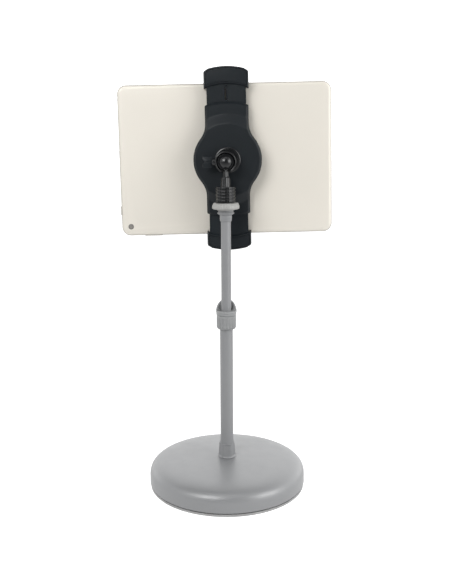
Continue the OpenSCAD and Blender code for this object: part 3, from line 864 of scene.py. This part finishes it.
def make_wing_screw():
    """A wing with a hollow end and two lobes that lean to +Y, on a short threaded shank."""
    low, high = own_box("wing_screw", HEAD)
    tip, outer, half = high.x, low.x, high.z
    root, root_r, lobe_r = -15 * MM, 0.7 * MM, 1.1 * MM
    points = arc((root - root_r, -half + root_r), root_r, -90, 0, 5)
    points += arc((root - root_r, half - root_r), root_r, 0, 90, 5)
    points += arc((outer + lobe_r, half - lobe_r), lobe_r, 90, 180, 5)
    hollow_d, hollow_z, hollow_w = 1.9 * MM, 0.9 * MM, 1.7 * MM
    for z in spaced(half - lobe_r, lobe_r - half, 16)[1:-1]:
        points.append((outer + hollow_d * math.exp(-((z - hollow_z) / hollow_w) ** 2), z))
    points += arc((outer + lobe_r, -half + lobe_r), lobe_r, 180, 270, 5)
    thick = 1.3 * MM
    levels = [(0.45 * MM, -thick), (0.15 * MM, -0.85 * thick), (0, -0.55 * thick)]
    levels += [(inset, -depth) for inset, depth in reversed(levels)]
    wing = skin("wing", plate_rings([Vector(p) for p in points], levels, HEAD), sharp=20)
    cut(wing, [box_tool(
        (outer - MM, -thick - MM, -0.5 * MM), (root + MM, 0.6 * MM - thick, 1.3 * MM), HEAD
    )])
    inverse = HEAD.inverted()
    lean, fold_z, level = 0.24, 0.4 * MM, 0.9 * MM
    for vertex in wing.data.vertices:
        height = abs((inverse @ vertex.co).z - fold_z)
        vertex.co += head_back * (lean * (height - level))
    bevel(wing, 0.12 * MM, 2, 40, 20)

    shank, pitch, turns = 2.5 * MM, 0.8 * MM, 4
    thread = -14.4 * MM
    profile = near(0, 0, [(0.1, -15.6), (1.9, -15.6), (1.9, -14.8), (2.5, -14.6)])
    for i in range(turns):
        z = thread + i * pitch
        profile += [(shank, z), (shank - 0.35 * MM, z + 0.5 * pitch)]
    profile += [(shank, thread + turns * pitch), (shank, tip - 0.5 * MM)]
    profile += [(shank - 0.4 * MM, tip), (POLE, tip)]
    screw = lathe("hub", profile, 64, place=HEAD @ Z_TO_X)
    piece(join("thumb_screw", [wing, screw]), "wing_screw")


# -------------------------------- clamp housing

def housing_outline(inset=0.0):
    """A disc with a bow-ended strap above and below, anticlockwise in X-Z from +X."""
    disc, strap, fillet, bow, end = 38 * MM, 24.25 * MM, 25 * MM, 80 * MM, 64 * MM
    across = strap + fillet
    up = math.sqrt((disc + fillet) ** 2 - across ** 2)
    turn = math.degrees(math.atan2(up, across))
    points = arc((0, 0), disc - inset, 0, turn, 14)
    points += arc((across, up), fillet + inset, 180 + turn, 180, 10)[1:]
    half, bow_r, bow_center = strap - inset, bow - inset, end - bow
    corner = max(1.6 * MM - inset, 0.05 * MM)
    corner_z = bow_center + math.sqrt(bow_r ** 2 - half ** 2) - corner
    points += [(half, z) for z in spaced(up, corner_z, 4)[1:]]
    points += arc((half - corner, corner_z), corner, 0, 78, 4)[1:]
    edge = math.degrees(math.asin((half - corner) / bow_r))
    points += arc((0, bow_center), bow_r, 90 - edge, 90, 7)[1:]
    upper = points + [(-x, z) for x, z in reversed(points[:-1])]
    lower = [(x, -z) for x, z in reversed(upper[1:-1])]
    return [Vector(p) for p in upper + lower]


def make_rear_housing():
    """A shell whose back is level over the disc and slopes down to the straps."""
    low, high = own_box("back_cover", CLAMP)
    plateau, split = low.y, high.y
    drop = 6.5 * MM
    inner_r, outer_r = 39.8 * MM, 50.4 * MM
    bevel_w, bevel_d = 2.6 * MM, 2.6 * MM
    wall = 2 * MM
    knots = 11

    def depth(point):
        along = limit((point.length - inner_r) / (outer_r - inner_r))
        eased = along * along * (3 - 2 * along)
        return plateau + drop * (0.92 * along + 0.08 * eased)

    def on_back(points, below=0.0):
        """Points on the back, or at a distance below it."""
        return [CLAMP @ Vector((p.x, depth(p) + below, p.y)) for p in points]

    def station(outline, k):
        """From the edge inwards: the edge, just outside the slope, then down the slope."""
        ring = []
        for point in outline:
            reach = point.length
            first, second = min(outer_r, reach), min(inner_r, reach)
            if k == 0:
                at = reach
            elif k == 1:
                at = first + min(0.8 * MM, (reach - first) / 2)
            else:
                at = first + (second - first) * (k - 2) / (knots - 2)
            ring.append(point * (at / reach))
        return ring

    def level(outline, share, y):
        """A smaller ring on the level part."""
        return lay(CLAMP, [p * (min(inner_r, p.length) / p.length * share) for p in outline], y)

    outline = housing_outline()
    inner = housing_outline(bevel_w)
    inside = housing_outline(bevel_w + 0.3 * MM)
    rim = housing_outline(wall)
    rings = [lay(CLAMP, outline, y) for y in (split, split - 2 * MM, split - 5 * MM)]
    for t, share in ((0.0, 1.0), (0.1, 0.86), (0.9, 0.12), (1.0, 0.03)):
        rings.append(on_back([p.lerp(q, t) for p, q in zip(outline, inner)], bevel_d * share))
    rings += [on_back(station(inner, k)) for k in range(knots + 1)]
    rings += [level(inner, share, plateau) for share in (0.98, 0.6, 0.3, 0.02)]
    rings += [level(inside, share, plateau + wall) for share in (0.02, 0.5, 0.9)]
    rings += [on_back(station(inside, k), wall) for k in reversed(range(knots + 1))]
    floor = split - 3 * MM
    rings.append([CLAMP @ Vector((p.x, max(depth(p) + 2.6 * wall, floor), p.y)) for p in rim])
    rings.append(lay(CLAMP, rim, split))
    shell = skin("rear_housing", rings, closed=True, sharp=28)

    arm_low, arm_high = own_box("upper_arm", CLAMP)
    gap, hub_r = 0.2 * MM, 6.06 * MM
    x0, x1 = arm_low.x - gap, arm_high.x + gap
    y0, y1 = arm_low.y - gap, arm_high.y + gap
    past, short = 70 * MM, 50 * MM
    tools = [
        box_tool((x0, y0, z0), (x1, y1, z1), CLAMP)
        for z0, z1 in ((-past, -short), (short, past))
    ]
    tools.append(rod_tool(CLAMP @ Vector((0, plateau - 2 * MM, 0)), hub_r, head_back, 8 * MM))
    piece(cut(shell, tools), "back_cover")


def make_front_housing():
    """A lid with four hollows for the screw heads."""
    low, high = own_box("front_cover", CLAMP)
    levels = near(0, low.y, [(0.4, 0), (0, 0.4)])
    levels += near(0, high.y, [(0, -0.8), (0.25, -0.25), (0.9, 0)])
    rings = plate_rings(housing_outline(0.15 * MM), levels, CLAMP)
    lid = skin("front_housing", rings, sharp=40)
    seat = high.y - 1.2 * MM
    tools = [
        rod_tool(CLAMP @ Vector((x * MM, seat, z * MM)), 3.2 * MM, head_back, 3 * MM)
        for x in (-30, 30) for z in (-14, 14)
    ]
    piece(cut(lid, tools), "front_cover")


# -------------------------------- arms and jaws

def jaw_outline(half, reach, inner):
    """The upper jaw's bowed top over a hollow underside, anticlockwise in X-Z."""
    bow, under, corner = 80 * MM, 68 * MM, 3.6 * MM
    bow_center, under_center = reach - bow, inner - under
    foot = under_center + math.sqrt(under ** 2 - half ** 2)
    corner_z = bow_center + math.sqrt(bow ** 2 - half ** 2) - corner
    side = [(half, z) for z in spaced(foot, corner_z, 3)]
    side += arc((half - corner, corner_z), corner, 0, 74, 6)[1:]
    edge = math.degrees(math.asin((half - corner) / bow))
    points = side + arc((0, bow_center), bow, 90 - edge, 90 + edge, 24)[1:-1]
    points += [(-x, z) for x, z in reversed(side)]
    edge = math.degrees(math.asin(half / under))
    points += arc((0, under_center), under, 90 + edge, 90 - edge, 20)[1:-1]
    return [Vector(p) for p in points]


def make_jaw(side, sign):
    """A jaw cap with a raised rim and a groove around it; sign is 1 above and -1 below."""
    low, high = own_box(side + "_jaw", CLAMP)
    proud = 0.7 * MM
    reach = max(abs(low.z), abs(high.z)) + (proud if sign > 0 else 0)
    inner = (82.8 if sign > 0 else 85.2) * MM
    outline = jaw_outline(high.x + proud, reach, inner)
    if sign < 0:
        outline = [-p for p in outline]
    levels = near(0, low.y, [
        (3.3, 0), (2.9, 0.05), (2.75, 0.7), (2.2, 0.7), (2.05, 0.25), (1.7, 0), (1.3, 0.1),
        (0.85, 0.5), (0.4, 1.4), (0, 3.4),
    ])
    levels += near(0, high.y, [
        (0, -6.2), (0.35, -6.0), (0.35, -5.5), (0, -5.3), (0, -2.4), (0.4, -1.1), (1.4, -0.2),
        (2.2, 0),
    ])
    cap = skin(side + "_cap", plate_rings(outline, levels, CLAMP), sharp=24)
    arm_low, arm_high = own_box("upper_arm", CLAMP)

    def pocket(x0, x1, y0, y1, end):
        z0, z1 = sorted((60 * MM * sign, end * sign))
        return box_tool((x0, y0, z0), (x1, y1, z1), CLAMP)

    piece(cut(cap, [
        pocket(arm_low.x - FIT, arm_high.x + FIT, arm_low.y - FIT, arm_high.y + FIT, 96 * MM),
        pocket(-30 * MM, 30 * MM, shell_low.y - 0.8 * MM, shell_high.y + 0.9 * MM, 87 * MM),
    ]), side + "_jaw")


def make_grip(side, sign):
    """The rubber in a jaw, ribbed where it meets the tablet."""
    low, high = own_box(side + "_pad", CLAMP)
    inner, outer = (low.z, high.z) if sign > 0 else (high.z, low.z)
    ribs = 22
    depth, edge = 0.5 * MM, 0.3 * MM
    rings = []
    for t in spaced(0, 1, ribs * 4):
        x = low.x + (high.x - low.x) * t
        z = inner + sign * depth * (0.5 - 0.5 * math.cos(TURN * ribs * t))
        section = [
            (low.y, outer), (high.y, outer), (high.y, z + sign * edge), (high.y - edge, z),
            (low.y + edge, z), (low.y, z + sign * edge),
        ]
        rings.append([CLAMP @ Vector((x, *p)) for p in section])
    piece(skin(side + "_cap_grip", rings, sharp=50), side + "_pad")


def make_arm(side, sign):
    """A sliding arm, with painted shade in its slot: a black block fills one half and a round black plug fills its
    round end.
    """
    low, high = own_box(side + "_arm", CLAMP)
    keyhole_z = 79.8 * MM * sign
    x0, x1 = sorted((0, 2 * MM * sign))
    z0, z1 = sorted((66.5 * MM * sign, keyhole_z))
    # Painted shade: black solids that darken the slot where it shows only shade.
    shade_block = box_tool((x0, low.y + 1.3 * MM, z0), (x1, high.y - 0.3 * MM, z1), CLAMP)
    head = rod_tool(CLAMP @ Vector((0, low.y + 1.4 * MM, keyhole_z)), 2.3 * MM, head_back, 1.5 * MM)
    refine(side + "_arm", 0.35 * MM, 2, extra=(shade_block, head))


# -------------------------------- tablet

TABLET_CORNER = 10 * MM


def make_tablet_shell():
    """A thin tray with openings for the lens, buttons, jack, port and speakers."""
    half_x, half_z = shell_high.x, shell_high.z
    back, front = shell_low.y, shell_high.y
    middle = (back + front) / 2
    glass = glass_low.y
    edge_w, edge_d = 4.6 * MM, 3.4 * MM

    levels = [(60 * MM, back), (20 * MM, back)]
    for a in spaced(0, math.pi / 2, 9):
        levels.append((edge_w * (1 - math.sin(a)), back + edge_d * (1 - math.cos(a))))
    levels += near(0, front, [(0, -0.9), (0.1, -0.5), (0.35, -0.2), (0.75, -0.2), (1, -0.45)])
    levels += [(MM, glass), (3 * MM, glass), (3 * MM, back + 1.3 * MM)]
    rings = []
    for inset, depth in levels:
        corner = max(TABLET_CORNER - inset, 0.5 * MM)
        rings.append(lay(TABLET, rounded_outline(half_x - inset, half_z - inset, corner), depth))
    shell = skin("tablet_back", rings, sharp=40)

    def hole(x, y, z, r, direction, length, segments=48):
        return rod_tool(TABLET @ Vector((x, y, z)), r, direction, length, segments)

    tools = [hole(lens_at.x, back - MM, lens_at.z, lens_r + FIT, head_back, 3.5 * MM)]
    gap, past = 0.15 * MM, 1.1 * MM
    low, high = own_box("power_button", TABLET)
    tools.append(box_tool(
        (low.x - MM, low.y - gap, low.z - gap), (high.x + past, high.y + gap, high.z + gap), TABLET
    ))
    low, high = own_box("volume_rocker", TABLET)
    tools.append(box_tool(
        (low.x - gap, low.y - gap, low.z - MM), (high.x + gap, high.y + gap, high.z + past), TABLET
    ))
    jack = shell_low.x - MM
    tools.append(hole(jack, middle, 71.5 * MM, 1.75 * MM, head_side, 3.4 * MM))
    port = rounded_outline(4.3 * MM, 1.3 * MM, 1.28 * MM, 8)
    tools.append(skin("tool", [
        [TABLET @ Vector((x, middle + p.y, p.x)) for p in port]
        for x in (half_x - 2.4 * MM, half_x + MM)
    ]))
    speaker_x, speaker_r = half_x - 0.8 * MM, 0.6 * MM
    for sign in (-1, 1):
        for i in range(6):
            z = (10 + 2.2 * i) * MM * sign
            tools.append(hole(speaker_x, middle, z, speaker_r, head_side, 2 * MM, 16))
    piece(cut(shell, tools), "tablet_shell")


def make_pane():
    """The front glass with a softened edge."""
    levels = [(0, glass_low.y)] + near(0, glass_high.y, [(0, -0.25), (0.07, -0.08), (0.25, 0)])
    rings = []
    for inset, depth in levels:
        corner = TABLET_CORNER - 1.05 * MM - inset
        outline = rounded_outline(glass_high.x - inset, glass_high.z - inset, corner)
        rings.append(lay(TABLET, outline, depth))
    piece(skin("tablet_pane", rings, sharp=60), "tablet_glass")


def make_lens():
    """A metal rim around a dished window."""
    place = TABLET @ Matrix.Translation((lens_at.x, 0, lens_at.z)) @ Z_TO_Y
    y0, y1 = lens_low.y, lens_high.y
    inner = lens_r - 0.7 * MM
    profile = [(inner, y1)] + near(inner, y0, [(0, 0.35), (0.1, 0.12), (0.25, 0)])
    profile += near(lens_r, y0, [(-0.25, 0), (-0.08, 0.1), (0, 0.3)]) + [(lens_r, y1)]
    piece(lathe("camera_rim", profile, place=place), "lens_ring")

    low, high = own_box("lens_window", TABLET)
    pupil = inner - FIT
    profile = [(POLE, high.y), (pupil, high.y)] + near(pupil, low.y, [(0, 0.3), (-0.2, 0.12)])
    for share, depth in ((0.62, 0.12), (0.56, 0.5), (0.4, 0.55), (0.25, 0.4)):
        profile.append((pupil * share, low.y + depth * MM))
    profile.append((POLE, low.y + 0.35 * MM))
    piece(lathe("camera_window", profile, place=place), "lens_window")


# -------------------------------- build it all

SIDES = (("upper", 1), ("lower", -1))

make_base_cover()
make_foot_pad()
make_collar()
make_tube("outer_tube", "lower_tube", 6.1 * MM, flare=0.35 * MM)
make_tube("inner_tube", "upper_tube", 4.5 * MM)
make_clutch_body()
make_clutch_lever()
make_stud()
make_lock_ring()
make_ferrule()
make_ball_stud()
make_socket()
make_wing_screw()
make_rear_housing()
make_front_housing()
for side, sign in SIDES:
    make_jaw(side, sign)
    make_grip(side, sign)
make_tablet_shell()
make_pane()
make_lens()
for side, sign in SIDES:
    make_arm(side, sign)
refine("ball_liner", 0.2 * MM, 2, "ball_black")
refine("front_pads", 0.3 * MM)
refine("power_button", 0.3 * MM)
refine("volume_rocker", 0.3 * MM)
refine("cover_screws", 0.25 * MM, 2)


# -------------------------------- stage

AIM = Vector((0, 0, 0.25))
# Name, compass angle from the front (positive to the right), height angle, distance, size, power.
LIGHTS = [
    ("front_left", -30, 31, 1.7, (0.9, 0.8), 17),
    ("right_tall", 59, 14, 1.7, (1.0, 1.2), 13.5),
    ("overhead", 0, 66, 1.9, (1.4, 0.8), 4.2),
]
# The room's own light: everywhere, then what each side adds between two heights of an axis.
ROOM = 0.03
ROOM_EXTRA = [
    ("Y", 0.1, 0.95, 1.7),
    ("X", -0.35, -0.95, 1.0),
    ("X", 0.2, 0.9, 1.25),
    ("Z", 0.5, 0.95, 0.05),
]
# The paper looks white everywhere, but lights the stand only from beside and behind it.
PAPER_GLOW = 1.05
PAPER_LIGHT = 0.76
PAPER_FRONT = (-0.75, 0.0)
PAPER_HALF = 12.0


def make_light(name, azimuth, elevation, distance, size, power):
    """A rectangular lamp that shines at the stand's middle."""
    a, e = math.radians(azimuth), math.radians(elevation)
    data = bpy.data.lights.new(name, "AREA")
    data.shape = "RECTANGLE"
    data.size, data.size_y = size
    data.energy = power
    light = put(name, data)
    light.location = AIM + distance * Vector((
        math.sin(a) * math.cos(e), -math.cos(a) * math.cos(e), math.sin(e)
    ))
    light.rotation_euler = (AIM - light.location).to_track_quat("-Z", "Y").to_euler()


def make_sky():
    """Soft light from the room, dim in front; the camera itself sees plain white around it."""
    world = bpy.data.worlds.new("studio")
    world.use_nodes = True
    sky = Tree(world.node_tree)
    direction = sky.axes(sky.add("TexCoord").outputs["Generated"])
    level = ROOM
    for axis, start, end, extra in ROOM_EXTRA:
        step = sky.spread(direction[axis], 0.0, extra, start, end, "SMOOTHSTEP")
        level = sky.math("ADD", step, level)
    level = sky.math("MAXIMUM", sky.camera_ray(), level)
    sky.fill(sky.tree.nodes["Background"], Color=level)
    bpy.context.scene.world = world


def make_paper():
    """A wide sheet of white paper under the stand."""
    half = PAPER_HALF
    corners = [(-half, -half, 0), (half, -half, 0), (half, half, 0), (-half, half, 0)]
    paper_floor = new_object("paper_floor", corners, [(0, 1, 2, 3)])
    m = Material("paper")
    m.set(Base_Color=m.ramp(m.noise(2, 3), (0.28, 0.28, 0.28), (0.3, 0.3, 0.3)))
    m.matt(40, 4, 0.85, 0.95)
    lit = m.spread(m.axes(m.coords)["Y"], 0.0, PAPER_LIGHT, *PAPER_FRONT)
    glow = m.math("MAXIMUM", lit, m.math("MULTIPLY", m.camera_ray(), PAPER_GLOW))
    m.set(Specular_IOR_Level=0.0, Emission_Color=(1, 1, 1), Emission_Strength=glow)
    paper_floor.data.materials.append(m.material)


def make_camera():
    data = bpy.data.cameras.new("camera")
    data.sensor_fit = "AUTO"
    data.sensor_width = 36
    data.lens = LENS_MM
    data.shift_y = LENS_SHIFT_Y
    data.clip_start = 0.01
    camera = put("camera", data)
    tilt = Matrix.Rotation(math.pi / 2 - CAMERA_PITCH, 4, "X")
    look = tilt @ Matrix.Rotation(CAMERA_ROLL, 4, "Z")
    camera.matrix_world = Matrix.Translation((0, -CAMERA_BACK, CAMERA_UP)) @ look
    bpy.context.scene.camera = camera


make_paper()
for light in LIGHTS:
    make_light(*light)
make_sky()
make_camera()
bpy.context.scene.view_settings.view_transform = "Standard"
bpy.context.scene.view_settings.look = "None"
